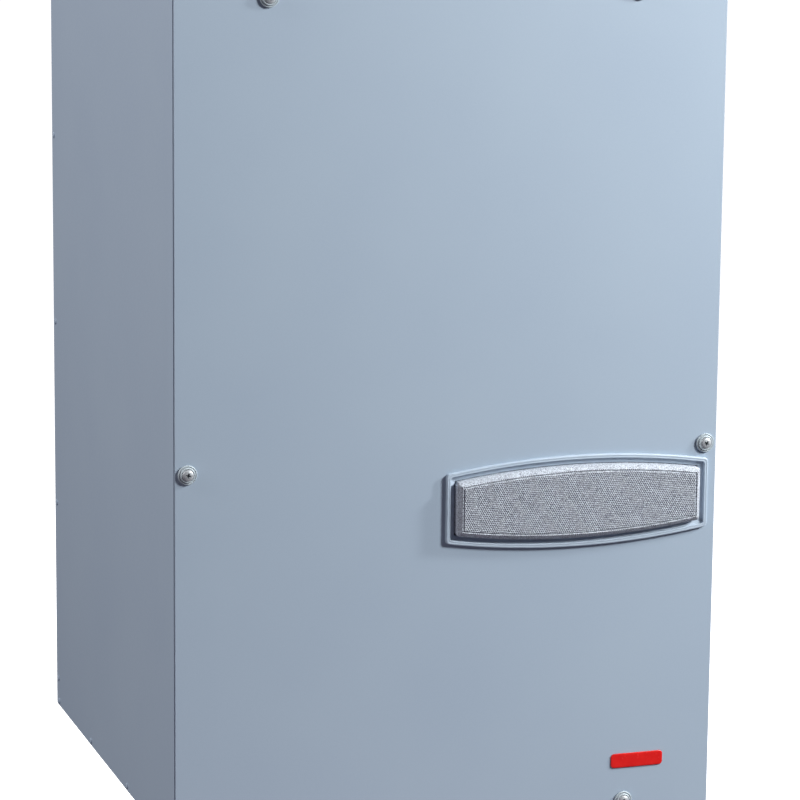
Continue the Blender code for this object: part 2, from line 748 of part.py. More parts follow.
def wheel_blades(low, high):
    """Backward-curved blades as one mesh: an arc of each blade's middle line, offset to both sides."""
    steps, half_thick = 5, 0.001
    inner, outer, sweep = WHEEL_EYE + 0.001, WHEEL_RADIUS - 0.0015, math.radians(28)
    bm = bmesh.new()
    for blade in range(BLADES):
        sides = []
        for sign in (1, -1):
            row = []
            for i in range(steps + 1):
                part = i / steps
                radius = inner + part * (outer - inner)
                angle = 2 * math.pi * blade / BLADES - sweep * part**0.8 + sign * half_thick / radius
                row.append((radius * math.cos(angle), radius * math.sin(angle)))
            sides.append(row)
        outline = sides[1] + sides[0][::-1]
        base = bm.faces.new([bm.verts.new((x, y, low)) for x, y in outline])
        made = bmesh.ops.extrude_face_region(bm, geom=[base])["geom"]
        raised = [v for v in made if isinstance(v, bmesh.types.BMVert)]
        bmesh.ops.translate(bm, vec=(0, 0, high - low), verts=raised)
    bmesh.ops.recalc_face_normals(bm, faces=bm.faces)
    return mesh_from("blades", bm)


def fan(name, x):
    """A scroll, its inlet plate with a nozzle, the wheel inside, and the motor that carries the wheel."""
    inlet_front = FAN_REAR - FAN_WALL
    scroll_rear = inlet_front - GAP
    scroll_front = scroll_rear - FAN_DEPTH
    housing = front_outline(
        f"{name}_fan_scroll",
        scroll_outline(0, SCROLL_TOP),
        (scroll_front, scroll_rear),
        "dark_plastic",
        (x, FAN_Z),
    )
    cut(
        housing,
        front_outline(
            f"{name}_scroll_inside",
            scroll_outline(FAN_WALL, SCROLL_TOP + 0.01),
            (scroll_front + FAN_WALL, scroll_rear + 0.01),
            at=(x, FAN_Z),
        ),
        rod(
            f"{name}_shaft_hole",
            SHAFT_RADIUS + 0.001,
            (x, scroll_front - 0.01, FAN_Z),
            scroll_front + 0.01,
            "y",
        ),
    )
    plate = front_outline(
        f"{name}_fan_inlet",
        scroll_outline(0, SCROLL_TOP),
        (inlet_front, FAN_REAR),
        "dark_plastic",
        (x, FAN_Z),
    )
    nozzle_end = inlet_front - 0.020
    nozzle_start = (x, FAN_REAR - 0.001, FAN_Z)
    join(plate, rod(f"{name}_nozzle", INLET_RADIUS, nozzle_start, nozzle_end, "y", sides=ROUND))
    cut(plate, rod(f"{name}_nozzle_bore", INLET_BORE, (x, FAN_REAR + 0.01, FAN_Z), nozzle_end - 0.01, "y",
                   sides=ROUND))

    wheel_front = scroll_front + FAN_WALL + 0.004
    shroud_rear = nozzle_end + 0.004
    span = shroud_rear - wheel_front
    # Heights run towards the front, so the wheel's back disc is the highest, and its shroud the lowest.
    wheel = turned(
        f"{name}_fan_wheel",
        [
            (WHEEL_RADIUS, span),
            (WHEEL_RADIUS, span - 0.003),
            (WHEEL_HUB, span - 0.003),
            (WHEEL_HUB, span - 0.014),
            (WHEEL_BORE, span - 0.014),
            (WHEEL_BORE, span),
        ],
        (x, shroud_rear, FAN_Z),
        "y",
        "white_plastic",
        ROUND,
        ring=True,
    )
    shroud_at = (x, shroud_rear, FAN_Z)
    blades = place(f"{name}_blades", wheel_blades(0.001, span - 0.001), None, shroud_at, TURNS["y"])
    shroud = rod(f"{name}_shroud", WHEEL_RADIUS, shroud_at, shroud_rear - 0.003, "y", sides=ROUND)
    eye_start = (x, shroud_rear + 0.01, FAN_Z)
    eye = rod(f"{name}_eye", WHEEL_EYE, eye_start, shroud_rear - 0.010, "y", sides=ROUND)
    cut(join(wheel, blades, shroud), eye)

    motor_rear = scroll_front - GAP
    turned(
        f"{name}_fan_motor",
        [(0, MOTOR_DEPTH), (MOTOR_RADIUS - 0.004, MOTOR_DEPTH), (MOTOR_RADIUS, MOTOR_DEPTH - 0.004),
         (MOTOR_RADIUS, 0), (SHAFT_RADIUS, 0), (SHAFT_RADIUS, -0.018), (0, -0.018)],
        (x, motor_rear, FAN_Z),
        "y",
        "galvanised",
        SMALL_ROUND,
    )


# --- Bypass ---------------------------------------------------------------------------------------


def bypass():
    """A flap on a horizontal axle closes the bypass channel where it enters the exhaust plenum."""
    rear = POCKET_BACK - 0.0006
    front = rear - BYPASS_FRAME_DEPTH
    y, z = FLAP_AXIS
    frame = box("bypass_frame", BYPASS_FRAME_X, (front, rear), BYPASS_FRAME_Z, "white_plastic")
    for i, x in enumerate(BYPASS_EARS_X):
        join(frame, box(f"ear_{i}", (x, x + EAR_THICK), (y - 0.006, front + 0.002), (z - 0.008, z + 0.008)))
    cut(
        frame,
        box("bypass_opening", BYPASS_OPENING_X, (front - 0.02, rear + 0.01), BYPASS_OPENING_Z),
        rod("axle_hole", AXLE_HOLE, (AXLE_X[0] - 0.01, y, z), AXLE_X[1], "x"),
    )
    flap = rod("bypass_flap", AXLE_RADIUS, (AXLE_X[0], y, z), AXLE_X[1], "x", "dark_plastic")
    join(flap, box("flap_blade", FLAP_X, (y - FLAP_HALF_THICK, y + FLAP_HALF_THICK), (FLAP_LOW, z)))
    actuator = box("bypass_actuator", ACTUATOR_X, (ACTUATOR_FRONT, rear), ACTUATOR_Z, "dark_plastic")
    cut(actuator, rod("actuator_socket", AXLE_HOLE, (ACTUATOR_X[0] - 0.01, y, z), AXLE_X[1] + 0.002, "x"))


# --- Controls -------------------------------------------------------------------------------------

def controls():
    """The electronics box at the front of the left fan chamber, with its board and its lid."""
    shell = box("control_box", BOX_X, BOX_Y, BOX_Z, "galvanised")
    inside = box(
        "control_box_inside",
        (BOX_X[0] + BOX_WALL, BOX_X[1] - BOX_WALL),
        (BOX_Y[0] - 0.01, BOX_Y[1] - BOX_WALL),
        (BOX_Z[0] + BOX_WALL, BOX_Z[1] - BOX_WALL),
    )
    cut(shell, inside)
    box("control_box_lid", BOX_X, (BOX_Y[0] - GAP - BOX_WALL, BOX_Y[0] - GAP), BOX_Z, "galvanised")
    board_x = (BOX_X[0] + BOARD_MARGIN, BOX_X[1] - BOARD_MARGIN)
    board_z = (BOX_Z[0] + BOARD_MARGIN, BOX_Z[1] - BOARD_MARGIN)
    box("circuit_board", board_x, BOARD_Y, board_z, "board_green")


# --- Front cover ----------------------------------------------------------------------------------


def bow_outline(inset):
    """The bezel's outline: upright ends and bowed long edges with rounded corners, brought in by inset."""
    bow = BEZEL_MIDDLE_HALF_HEIGHT - BEZEL_END_HALF_HEIGHT
    radius = (BEZEL_HALF_WIDTH**2 + bow**2) / (2 * bow)
    centre = BEZEL_MIDDLE_HALF_HEIGHT - radius
    radius -= inset
    corner = max(BEZEL_CORNER - inset / 4, 0.0012)
    corner_x = BEZEL_HALF_WIDTH - inset - corner
    corner_z = centre + math.sqrt((radius - corner) ** 2 - corner_x**2)
    meet = math.atan2(corner_z - centre, corner_x)
    corner_steps, bow_steps = 3, 16
    upper = []
    for i in range(corner_steps):
        angle = meet * i / corner_steps
        upper.append((corner_x + corner * math.cos(angle), corner_z + corner * math.sin(angle)))
    for i in range(bow_steps + 1):
        angle = meet + (math.pi - 2 * meet) * i / bow_steps
        upper.append((radius * math.cos(angle), centre + radius * math.sin(angle)))
    upper += [(-x, z) for x, z in upper[corner_steps - 1 :: -1]]
    return upper + [(x, -z) for x, z in reversed(upper)]


def bowed(name, inset, y, slot=None):
    return front_outline(name, bow_outline(inset), y, slot, (BEZEL_X, BEZEL_Z))


def bezel_and_cap():
    bezel_back = FRONT - GAP
    front = FRONT - BEZEL_PROUD
    edge = [
        (inset, front + BEZEL_EDGE - math.sqrt(BEZEL_EDGE**2 - (BEZEL_EDGE - inset) ** 2))
        for inset in (0, 0.3 * BEZEL_EDGE, BEZEL_EDGE)
    ]
    sections = [(bow_outline(0), bezel_back)] + [(bow_outline(inset), y) for inset, y in edge]
    bezel = lofted("filter_bezel", sections, "bezel_plastic", (BEZEL_X, BEZEL_Z))
    join(bezel, bowed("bezel_sleeve", BEZEL_SLEEVE, (bezel_back - 0.001, FRONT + 0.0052)))
    cut(
        bezel,
        bowed("bezel_recess", BEZEL_RIM, (FRONT - BEZEL_PROUD - 0.01, bezel_back - BEZEL_FLOOR)),
        bowed("bezel_opening", BEZEL_OPENING, (FRONT - BEZEL_PROUD - 0.01, FRONT + 0.02)),
    )
    side, face = bow_outline(CAP_INSET), bow_outline(CAP_INSET + CAP_BEVEL)
    sections = [(side, CAP_BACK), (side, CAP_FRONT + CAP_BEVEL_DEPTH), (face, CAP_FRONT)]
    lofted("filter_cap", sections, "cap_foam", (BEZEL_X, BEZEL_Z))


def rounded_rectangle(width, height, corner):
    points = []
    for quarter in range(4):
        x = (width / 2 - corner) * (1 if quarter in (0, 3) else -1)
        z = (height / 2 - corner) * (1 if quarter in (0, 1) else -1)
        for i in range(4):
            angle = math.pi / 2 * (quarter + i / 3)
            points.append((x + corner * math.cos(angle), z + corner * math.sin(angle)))
    return points


def front_cover():
    cover = box("front_cover", (-HALF, HALF), (FRONT, COVER_BACK), (0, HEIGHT), "powder_coat")
    pad_y, pad_z = (COVER_BACK + GAP, PAD_BACK), (PAD_EDGE, HEIGHT - PAD_EDGE)
    pad = box("front_insulation", (-PAD_HALF, PAD_HALF), pad_y, pad_z, "black_foam")
    cut(cover, bowed("cover_opening", COVER_OPENING, (FRONT - 0.01, FRONT + 0.01)))
    cut(pad, bowed("pad_opening", PAD_OPENING, (FRONT - 0.01, FOAM_FRONT + 0.01)))
    cut(cover, *[screw_hole(f"cover_{where}", *at) for where, at in SCREW_PLACES.items()])
    outline = rounded_rectangle(*BADGE_SIZE, 0.004)
    front_outline("badge", outline, (FRONT - GAP - BADGE_THICK, FRONT - GAP), "badge_red", BADGE_AT)
    bezel_and_cap()


def cover_screws():
    """Domed screws, each in a cup washer that stands on the cover."""
    seat = 0.0026
    washer = [
        (WASHER_RADIUS - 0.0030, 0.0042),
        (WASHER_RADIUS - 0.0020, 0.0040),
        (WASHER_RADIUS - 0.0014, 0.0022),
        (WASHER_RADIUS - 0.0003, 0.0020),
        (WASHER_RADIUS, 0.0012),
        (WASHER_RADIUS, 0),
        (SCREW_HOLE, 0),
        (SCREW_HOLE, seat - GAP),
        (SCREW_HEAD + 0.0003, seat - GAP),
    ]
    screw = [
        (0, 0.0058),
        (0.0030, 0.0054),
        (0.0050, 0.0044),
        (SCREW_HEAD, seat),
        (SCREW_RADIUS, seat),
        (SCREW_RADIUS, FRONT - SCREW_TIP),
        (0, FRONT - SCREW_TIP),
    ]
    for where, (x, z) in SCREW_PLACES.items():
        at = (x, FRONT - GAP, z)
        turned(f"cup_washer_{where}", washer, at, "y", "washer_metal", SMALL_ROUND, ring=True)
        turned(f"cover_screw_{where}", screw, at, "y", "zinc", FINE_ROUND)


cabinet()
wall_fixing()
spigots()
drain()
cable_gland()
lower_foam()
upper_foam()
exchanger()
filters()
for fan_name, fan_x in FAN_CENTRES.items():
    fan(fan_name, fan_x)
bypass()
controls()
front_cover()
cover_screws()
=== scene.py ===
"""The looks of a wall-hung heat recovery unit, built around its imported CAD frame.

Lengths are metres. +Z is up, the wall is the plane y = 0 and the front cover faces -Y.
"""

import json
import math
import random

import bmesh
import bpy
import numpy as np
from mathutils import Matrix, Vector

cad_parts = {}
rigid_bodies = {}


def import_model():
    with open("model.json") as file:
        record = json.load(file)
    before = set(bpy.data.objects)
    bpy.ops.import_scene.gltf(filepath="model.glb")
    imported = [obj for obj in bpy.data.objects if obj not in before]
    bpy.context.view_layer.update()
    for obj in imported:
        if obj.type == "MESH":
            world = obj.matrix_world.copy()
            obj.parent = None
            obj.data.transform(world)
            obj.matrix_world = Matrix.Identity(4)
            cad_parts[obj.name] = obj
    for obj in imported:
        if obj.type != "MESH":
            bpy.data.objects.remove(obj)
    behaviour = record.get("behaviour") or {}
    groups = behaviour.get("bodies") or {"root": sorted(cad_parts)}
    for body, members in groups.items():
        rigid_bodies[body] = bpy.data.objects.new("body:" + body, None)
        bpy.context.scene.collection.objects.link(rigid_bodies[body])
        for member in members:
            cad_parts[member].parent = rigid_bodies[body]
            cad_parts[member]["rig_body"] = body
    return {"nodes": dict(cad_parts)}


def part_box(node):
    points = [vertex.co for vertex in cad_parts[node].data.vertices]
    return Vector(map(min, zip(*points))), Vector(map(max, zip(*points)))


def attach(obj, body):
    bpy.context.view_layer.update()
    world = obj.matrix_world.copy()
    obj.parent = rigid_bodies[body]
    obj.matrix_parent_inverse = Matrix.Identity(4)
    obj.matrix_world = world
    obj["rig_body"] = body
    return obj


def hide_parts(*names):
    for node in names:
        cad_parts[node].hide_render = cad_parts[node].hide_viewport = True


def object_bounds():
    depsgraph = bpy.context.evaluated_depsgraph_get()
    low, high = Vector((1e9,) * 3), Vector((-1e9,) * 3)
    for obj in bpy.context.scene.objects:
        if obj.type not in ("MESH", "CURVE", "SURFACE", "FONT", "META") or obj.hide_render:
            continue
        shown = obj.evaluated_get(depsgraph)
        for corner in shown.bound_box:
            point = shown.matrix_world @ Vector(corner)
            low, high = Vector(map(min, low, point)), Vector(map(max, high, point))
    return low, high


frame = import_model()
CAD_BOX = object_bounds()

MM = 0.001
GAP = 0.0003  # between pieces that touch

# The front cover's own places, from the CAD frame.
COVER_LOW, COVER_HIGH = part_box("front_cover")
FRONT = COVER_LOW.y
BASE = COVER_LOW.z
SIDE_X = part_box("right_side_panel")[1].x

# The filter hatch: a frame with bowed long edges round a block of foam.
BEZEL_LOW, BEZEL_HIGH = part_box("filter_bezel")
CAP_LOW, CAP_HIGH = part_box("filter_cap")
HATCH = (BEZEL_LOW + BEZEL_HIGH) / 2
HATCH_HALF_WIDTH = (BEZEL_HIGH.x - BEZEL_LOW.x) / 2
HATCH_MIDDLE = (BEZEL_HIGH.z - BEZEL_LOW.z) / 2  # half height at the middle
HATCH_BOW = 0.0122  # how much further the long edges stand out at the middle than at the ends
HATCH_CORNER = 0.004
LEAST_CORNER = 0.0012  # of the outline where it is brought in
RIM_TOP = FRONT - BEZEL_LOW.y  # how far the rim stands proud of the cover
CAP_INSET = HATCH_HALF_WIDTH - (CAP_HIGH.x - CAP_LOW.x) / 2
CAP_CORNER = 3.6 * MM
CAP_STEP = 0.55 * MM  # between the vertices of its face
CAP_PITCH = 2.35 * MM  # between the dimples of its face
# The dimples are where three waves meet, which run in these directions.
CAP_WAVE = 2 * math.pi / (CAP_PITCH * math.sqrt(3) / 2)
CAP_TURNS = [math.radians(60 * i) for i in range(3)]
PIT_COUNT = 60  # craters in its face, where a bead is missing
PIT_SEED = 11

# The cover's screws: how far the cross of each is turned, in degrees.
SCREWS = {
    "left": 12,
    "right": 33,
    "top_left": -20,
    "top_right": 8,
    "bottom_left": 41,
    "bottom_right": -9,
}

# Rivets of the side panels, measured from the cabinet's base and from its front.
RIVET_RADIUS = 3.4 * MM
RIVET_HEIGHT = 1.6 * MM
RIVET_HEIGHTS = (0.033, 0.248, 0.465, 0.684, 0.867)
RIVET_DEPTHS = (0.040, 0.213, 0.386, 0.551)
RIVET_INSET = 0.0055  # from the top and bottom edges
RIVET_REAR = 0.0100  # from the rear edge

DUCTS = ("extract", "outdoor", "supply", "exhaust")
FANS = ("exhaust", "supply")
SIDES = ("left", "right")
FILTER_BODY = {"left": "left_filter", "right": "right_filter"}


# ---------------------------------------------------------------- materials


def linear(*rgb):
    """A colour given as 0-255 display values, in Blender's linear numbers."""
    shares = [c / 255 for c in rgb]
    return tuple(c / 12.92 if c <= 0.04045 else ((c + 0.055) / 1.055) ** 2.4 for c in shares) + (1,)


class Surface:
    """One material: a Principled shader and the texture nodes that drive it."""

    def __init__(self, name, metallic=0.0, roughness=0.5, **values):
        self.material = bpy.data.materials.new(name)
        self.material.use_nodes = True
        self.tree = self.material.node_tree
        self.shader = self.tree.nodes["Principled BSDF"]
        self.shader.inputs["Metallic"].default_value = metallic
        self.shader.inputs["Roughness"].default_value = roughness
        for socket, value in values.items():
            self.shader.inputs[socket.replace("_", " ")].default_value = value
        self.place = self.node("ShaderNodeTexCoord").outputs["Object"]

    def node(self, kind, links=None, values=None, **settings):
        made = self.tree.nodes.new(kind)
        for key, value in settings.items():
            setattr(made, key, value)
        for socket, value in (values or {}).items():
            made.inputs[socket].default_value = value
        for socket, source in (links or {}).items():
            self.tree.links.new(source, made.inputs[socket])
        return made

    def noise(self, size, detail=3.0, stretch=None):
        """Noise whose features are about size across, from 0 to 1."""
        return self.node(
            "ShaderNodeTexNoise",
            {"Vector": self.stretched(stretch)},
            {"Scale": 1 / size, "Detail": detail, "Roughness": 0.55},
        ).outputs["Fac"]

    def cells(self, size, feature="F1", output="Distance"):
        """A pattern of cells about size across."""
        made = self.node("ShaderNodeTexVoronoi", {"Vector": self.place}, {"Scale": 1 / size}, feature=feature)
        return made.outputs[output]

    def cell_tone(self, size):
        """A number from 0 to 1, the same all over each cell."""
        return self.node("ShaderNodeSeparateColor", {"Color": self.cells(size, output="Color")}).outputs[0]

    def stretched(self, stretch):
        if stretch is None:
            return self.place
        return self.node("ShaderNodeMapping", {"Vector": self.place}, {"Scale": stretch}).outputs[0]

    def maths(self, operation, first, second=0.0, third=0.0):
        made = self.node("ShaderNodeMath", operation=operation)
        for i, value in enumerate((first, second, third)):
            if isinstance(value, (int, float)):
                made.inputs[i].default_value = value
            else:
                self.tree.links.new(value, made.inputs[i])
        return made.outputs[0]

    def remap(self, value, low, high, to_low, to_high):
        """A value from low to high, spread from to_low to to_high and held there beyond them."""
        made = self.node("ShaderNodeMapRange", {"Value": value})
        numbers = {"From Min": low, "From Max": high, "To Min": to_low, "To Max": to_high}
        for socket, number in numbers.items():
            made.inputs[socket].default_value = number
        return made.outputs[0]

    def drift(self, size, detail, low, high):
        """Noise that wanders from low to high."""
        return self.remap(self.noise(size, detail), 0.3, 0.7, low, high)

    def blend(self, amount, first, second):
        """A colour between two colours or sockets."""
        made = self.node("ShaderNodeMix", {"Factor": amount}, data_type="RGBA")
        for i, value in ((6, first), (7, second)):
            if isinstance(value, tuple):
                made.inputs[i].default_value = value
            else:
                self.tree.links.new(value, made.inputs[i])
        return made.outputs[2]

    def colour(self, socket):
        self.tree.links.new(socket, self.shader.inputs["Base Color"])
        return self

    def roughness(self, socket):
        self.tree.links.new(socket, self.shader.inputs["Roughness"])
        return self

    def bump(self, height, depth):
        """Bump by a height from 0 to 1 that stands for a depth in metres. A second call adds to the first."""
        normal = self.shader.inputs["Normal"]
        below = normal.links[0].from_socket if normal.links else None
        made = self.node("ShaderNodeBump", {"Height": height}, {"Strength": 1.0, "Distance": depth})
        if below:
            self.tree.links.new(below, made.inputs["Normal"])
        self.tree.links.new(made.outputs[0], normal)
        return self


def powder_coat():
    """Pale blue-grey powder coat: flecks, and the fine waviness of its skin."""
    s = Surface("powder_coat", roughness=0.44, Specular_IOR_Level=0.45)
    base = s.blend(s.drift(0.16, 2, 0, 1), linear(154, 170, 188), linear(157, 173, 190))
    fleck = s.noise(0.8 * MM, 2)
    s.colour(s.blend(s.remap(fleck, 0.35, 0.75, 0, 0.35), base, linear(168, 182, 198)))
    s.roughness(s.drift(2.2 * MM, 3, 0.40, 0.50))
    return s.bump(s.noise(1.6 * MM, 2), 0.02 * MM).bump(s.noise(0.35 * MM, 2), 0.004 * MM)


def bezel_plastic():
    s = Surface("bezel_plastic", roughness=0.38, Specular_IOR_Level=0.5)
    s.colour(s.blend(s.drift(0.05, 3, 0, 1), linear(166, 181, 198), linear(171, 186, 202)))
    s.roughness(s.drift(1.1 * MM, 3, 0.33, 0.44))
    return s.bump(s.cells(0.45 * MM), 0.008 * MM)


def cap_foam():
    """Grey bead foam: mottled, with painted shade in a dimple at each point of a hexagonal lattice on its
    face, and painted shade in small pits.
    """
    s = Surface("cap_foam", roughness=0.62, Specular_IOR_Level=0.35)
    tone = s.cell_tone(2.2 * MM)
    mottle = s.blend(tone, linear(112, 117, 130), linear(176, 184, 196))
    cloud = s.blend(s.remap(s.noise(7 * MM, 4), 0.35, 0.68, 0, 0.5), mottle, linear(136, 142, 156))
    grain = s.blend(s.remap(s.noise(0.8 * MM, 3), 0.42, 0.62, 0, 1.0), cloud, linear(208, 217, 227))
    grain = s.blend(s.remap(s.noise(1.5 * MM, 4), 0.36, 0.5, 0.62, 0), grain, linear(92, 94, 108))
    place = s.node("ShaderNodeSeparateXYZ", {"Vector": s.place}).outputs
    lattice = 0.0
    for turn in CAP_TURNS:
        start = -CAP_WAVE * (HATCH.x * math.sin(turn) + HATCH.z * math.cos(turn))
        across = s.maths("MULTIPLY_ADD", place[0], CAP_WAVE * math.sin(turn), start)
        along = s.maths("MULTIPLY_ADD", place[2], CAP_WAVE * math.cos(turn), across)
        lattice = s.maths("ADD", s.maths("COSINE", along), lattice)
    on_face = s.remap(place[1], CAP_LOW.y + 0.8 * MM, CAP_LOW.y + 1.1 * MM, 1, 0)
    # Painted shade: a dark colour at the lattice points stands in for the shade inside each dimple of the
    # face.
    painted_dimple_shade = s.maths("MULTIPLY", s.remap(lattice, -0.2, 1.3, 0, 0.95), on_face)
    dimple_shaded = s.blend(painted_dimple_shade, grain, linear(46, 42, 54))
    # Painted shade: dark spots at scattered cell centres stand in for the shade inside small pits.
    painted_pit_shade = s.remap(s.cells(9 * MM), 0.0, 0.055, 1, 0)
    s.colour(s.blend(painted_pit_shade, dimple_shaded, linear(44, 38, 46)))
    s.roughness(s.drift(1.4 * MM, 3, 0.50, 0.72))
    return s.bump(s.cells(2.6 * MM), 0.12 * MM).bump(s.noise(0.5 * MM, 3), 0.05 * MM)


def bead_foam(name, dark, light, roughness):
    """Moulded bead foam: rounded beads pressed together, with fine open joints."""
    s = Surface(name, roughness=roughness, Specular_IOR_Level=0.3)
    size = 4.2 * MM
    tone = s.cell_tone(size)
    joint = s.remap(s.cells(size, "DISTANCE_TO_EDGE"), 0.0, 0.14, 0, 1)
    bead = s.blend(tone, dark, light)
    s.colour(s.blend(joint, tuple(0.45 * c for c in dark[:3]) + (1,), bead))
    s.roughness(s.drift(1.5 * MM, 3, roughness - 0.1, roughness + 0.08))
    return s.bump(joint, 0.16 * MM).bump(s.noise(0.7 * MM, 2), 0.03 * MM)


def plated(name, dark, light, roughness, grain, metallic):
    """Plated steel with a fine clouding."""
    s = Surface(name, metallic=metallic, roughness=roughness)
    s.colour(s.blend(s.drift(grain, 4, 0, 1), dark, light))
    s.roughness(s.drift(grain / 2, 3, roughness - 0.07, roughness + 0.09))
    return s.bump(s.noise(grain / 3, 3), 0.006 * MM)


def galvanised():
    """Hot-dip galvanised sheet: large crystals of slightly different greys."""
    s = Surface("galvanised", metallic=0.85, roughness=0.42)
    tone = s.cell_tone(9 * MM)
    crystal = s.blend(tone, linear(150, 154, 158), linear(186, 189, 192))
    s.colour(s.blend(s.remap(s.noise(2 * MM, 4), 0.4, 0.7, 0, 0.4), crystal, linear(168, 171, 174)))
    s.roughness(s.remap(tone, 0, 1, 0.34, 0.5))
    return s.bump(s.noise(1.2 * MM, 3), 0.008 * MM)


def moulded(name, dark, light, roughness):
    """Injection-moulded plastic with a spark-eroded texture."""
    s = Surface(name, roughness=roughness, Specular_IOR_Level=0.45)
    s.colour(s.blend(s.drift(0.02, 4, 0, 1), dark, light))
    s.roughness(s.drift(0.9 * MM, 3, roughness - 0.06, roughness + 0.08))
    return s.bump(s.cells(0.5 * MM), 0.012 * MM)


def rubber():
    s = Surface("gasket_rubber", roughness=0.72, Specular_IOR_Level=0.3)
    s.colour(s.blend(s.drift(1.2 * MM, 4, 0, 1), linear(132, 138, 152), linear(148, 154, 166)))
    s.roughness(s.drift(3 * MM, 3, 0.62, 0.82))
    return s.bump(s.cells(0.6 * MM), 0.03 * MM)


def card():
    """Filter frame card: fine fibres along its length."""
    s = Surface("filter_card", roughness=0.85, Specular_IOR_Level=0.2)
    fibre = s.noise(1.1 * MM, 5, (1, 0.12, 1))
    s.colour(s.blend(s.remap(fibre, 0.35, 0.65, 0, 1), linear(176, 169, 154), linear(200, 194, 180)))
    s.roughness(s.remap(fibre, 0.3, 0.7, 0.78, 0.92))
    return s.bump(fibre, 0.05 * MM)


def fleece():
    """Filter fleece: a white felt of crossing fibres."""
    s = Surface("filter_fleece", roughness=0.95, Sheen_Weight=0.25, Sheen_Roughness=0.6)
    across = s.noise(0.7 * MM, 4, (1, 0.25, 1))
    along = s.noise(0.7 * MM, 4, (0.25, 1, 1))
    felt = s.maths("MULTIPLY", s.maths("ADD", across, along), 0.5)
    s.colour(s.blend(s.remap(felt, 0.38, 0.6, 0, 1), linear(186, 190, 190), linear(214, 216, 213)))
    s.roughness(s.remap(felt, 0.3, 0.7, 0.88, 1.0))
    return s.bump(felt, 0.12 * MM)


def circuit():
    """Solder mask with copper tracks showing through it."""
    s = Surface("board_green", roughness=0.35, Specular_IOR_Level=0.5)
    upright = s.node("ShaderNodeMapping", {"Vector": s.place}, {"Rotation": (math.pi / 2, 0, 0)}).outputs[0]
    tracks = s.node(
        "ShaderNodeTexBrick",
        {"Vector": upright},
        {"Scale": 60.0, "Mortar Size": 0.03, "Brick Width": 0.9, "Row Height": 0.22},
    ).outputs["Fac"]
    mask = s.blend(s.drift(4 * MM, 3, 0, 1), linear(20, 84, 52), linear(28, 98, 60))
    s.colour(s.blend(tracks, mask, linear(60, 132, 84)))
    s.roughness(s.drift(2 * MM, 3, 0.3, 0.42))
    return s.bump(tracks, 0.03 * MM)


def enamel():
    s = Surface("badge_red", roughness=0.22, Specular_IOR_Level=0.5, Coat_Weight=0.4, Coat_Roughness=0.08)
    s.colour(s.blend(s.drift(0.012, 3, 0, 1), linear(206, 26, 24), linear(218, 34, 30)))
    s.roughness(s.drift(3 * MM, 3, 0.18, 0.28))
    return s.bump(s.noise(2.5 * MM, 2), 0.01 * MM)


def webbing():
    """Woven strap: two crossing rows of yarns."""
    s = Surface("strap_webbing", roughness=0.85, Specular_IOR_Level=0.2, Sheen_Weight=0.2)
    rows = [
        s.node(
            "ShaderNodeTexWave",
            {"Vector": s.place},
            {"Scale": 1 / (5 * MM), "Distortion": 0.4, "Detail": 1.0},
            bands_direction=direction,
        ).outputs["Fac"]
        for direction in ("X", "Z")
    ]
    weave = s.maths("MULTIPLY", *rows)
    s.colour(s.blend(s.remap(weave, 0, 0.8, 0, 1), linear(34, 48, 84), linear(86, 104, 150)))
    s.roughness(s.remap(weave, 0, 1, 0.9, 0.75))
    return s.bump(weave, 0.18 * MM)


def make_materials():
    surfaces = [
        powder_coat(),
        bezel_plastic(),
        cap_foam(),
        bead_foam("black_foam", linear(40, 41, 44), linear(62, 63, 67), 0.7),
        plated("zinc", linear(160, 166, 172), linear(184, 189, 194), 0.42, 1.5 * MM, 0.3),
        plated("washer_metal", linear(166, 178, 186), linear(182, 193, 200), 0.5, 1.2 * MM, 0.15),
        rubber(),
        galvanised(),
        moulded("dark_plastic", linear(38, 40, 44), linear(48, 50, 54), 0.45),
        moulded("white_plastic", linear(208, 210, 210), linear(222, 223, 222), 0.42),
        moulded("exchanger_plastic", linear(196, 204, 210), linear(216, 222, 226), 0.36),
        card(),
        fleece(),
        circuit(),
        enamel(),
        webbing(),
    ]
    return {s.material.name: s.material for s in surfaces}


# ---------------------------------------------------------------- mesh helpers


def shade(obj, angle):
    """Smooth shading, with edges above an angle in degrees kept sharp."""
    mesh = obj.data
    mesh.shade_smooth()
    mesh.set_sharp_from_angle(angle=math.radians(angle))


def closed_mesh(name, verts, faces):
    """A mesh whose faces all look outwards."""
    mesh = bpy.data.meshes.new(name)
    mesh.from_pydata([tuple(v) for v in verts], [], faces)
    mesh.validate()
    bm = bmesh.new()
    bm.from_mesh(mesh)
    bmesh.ops.recalc_face_normals(bm, faces=bm.faces)
    bm.to_mesh(mesh)
    bm.free()
    return mesh


def piece(name, verts, faces, body, slot, nodes=(), angle=35):
    """A new piece of the object: a mesh that rides on a body and may stand for CAD nodes."""
    return placed(bpy.data.objects.new(name, closed_mesh(name, verts, faces)), body, slot, nodes, angle)


def placed(obj, body, slot, nodes, angle):
    """Gives an object its surface, its body, its slot and the CAD nodes it stands for."""
    bpy.context.scene.collection.objects.link(obj)
    obj.data.materials.clear()
    obj.data.materials.append(MATERIALS[slot])
    shade(obj, angle)
    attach(obj, body)
    if nodes:
        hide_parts(*nodes)
    return obj


def loops_to_faces(loops, length, closed, caps):
    """Quads between neighbouring loops of length points each. closed joins the last loop to the first, and
    caps closes the two ends."""
    faces = []
    pairs = [(i, i + 1) for i in range(loops - 1)] + ([(loops - 1, 0)] if closed else [])
    for a, b in pairs:
        for i in range(length):
            j = (i + 1) % length
            faces.append((a * length + i, a * length + j, b * length + j, b * length + i))
    if caps:
        faces.append(tuple(reversed(range(length))))
        faces.append(tuple(range((loops - 1) * length, loops * length)))
    return faces


def lofted(loops, closed=False):
    """Vertices and faces of a body through loops that have the same number of points."""
    return [p for loop in loops for p in loop], loops_to_faces(len(loops), len(loops[0]), closed, not closed)


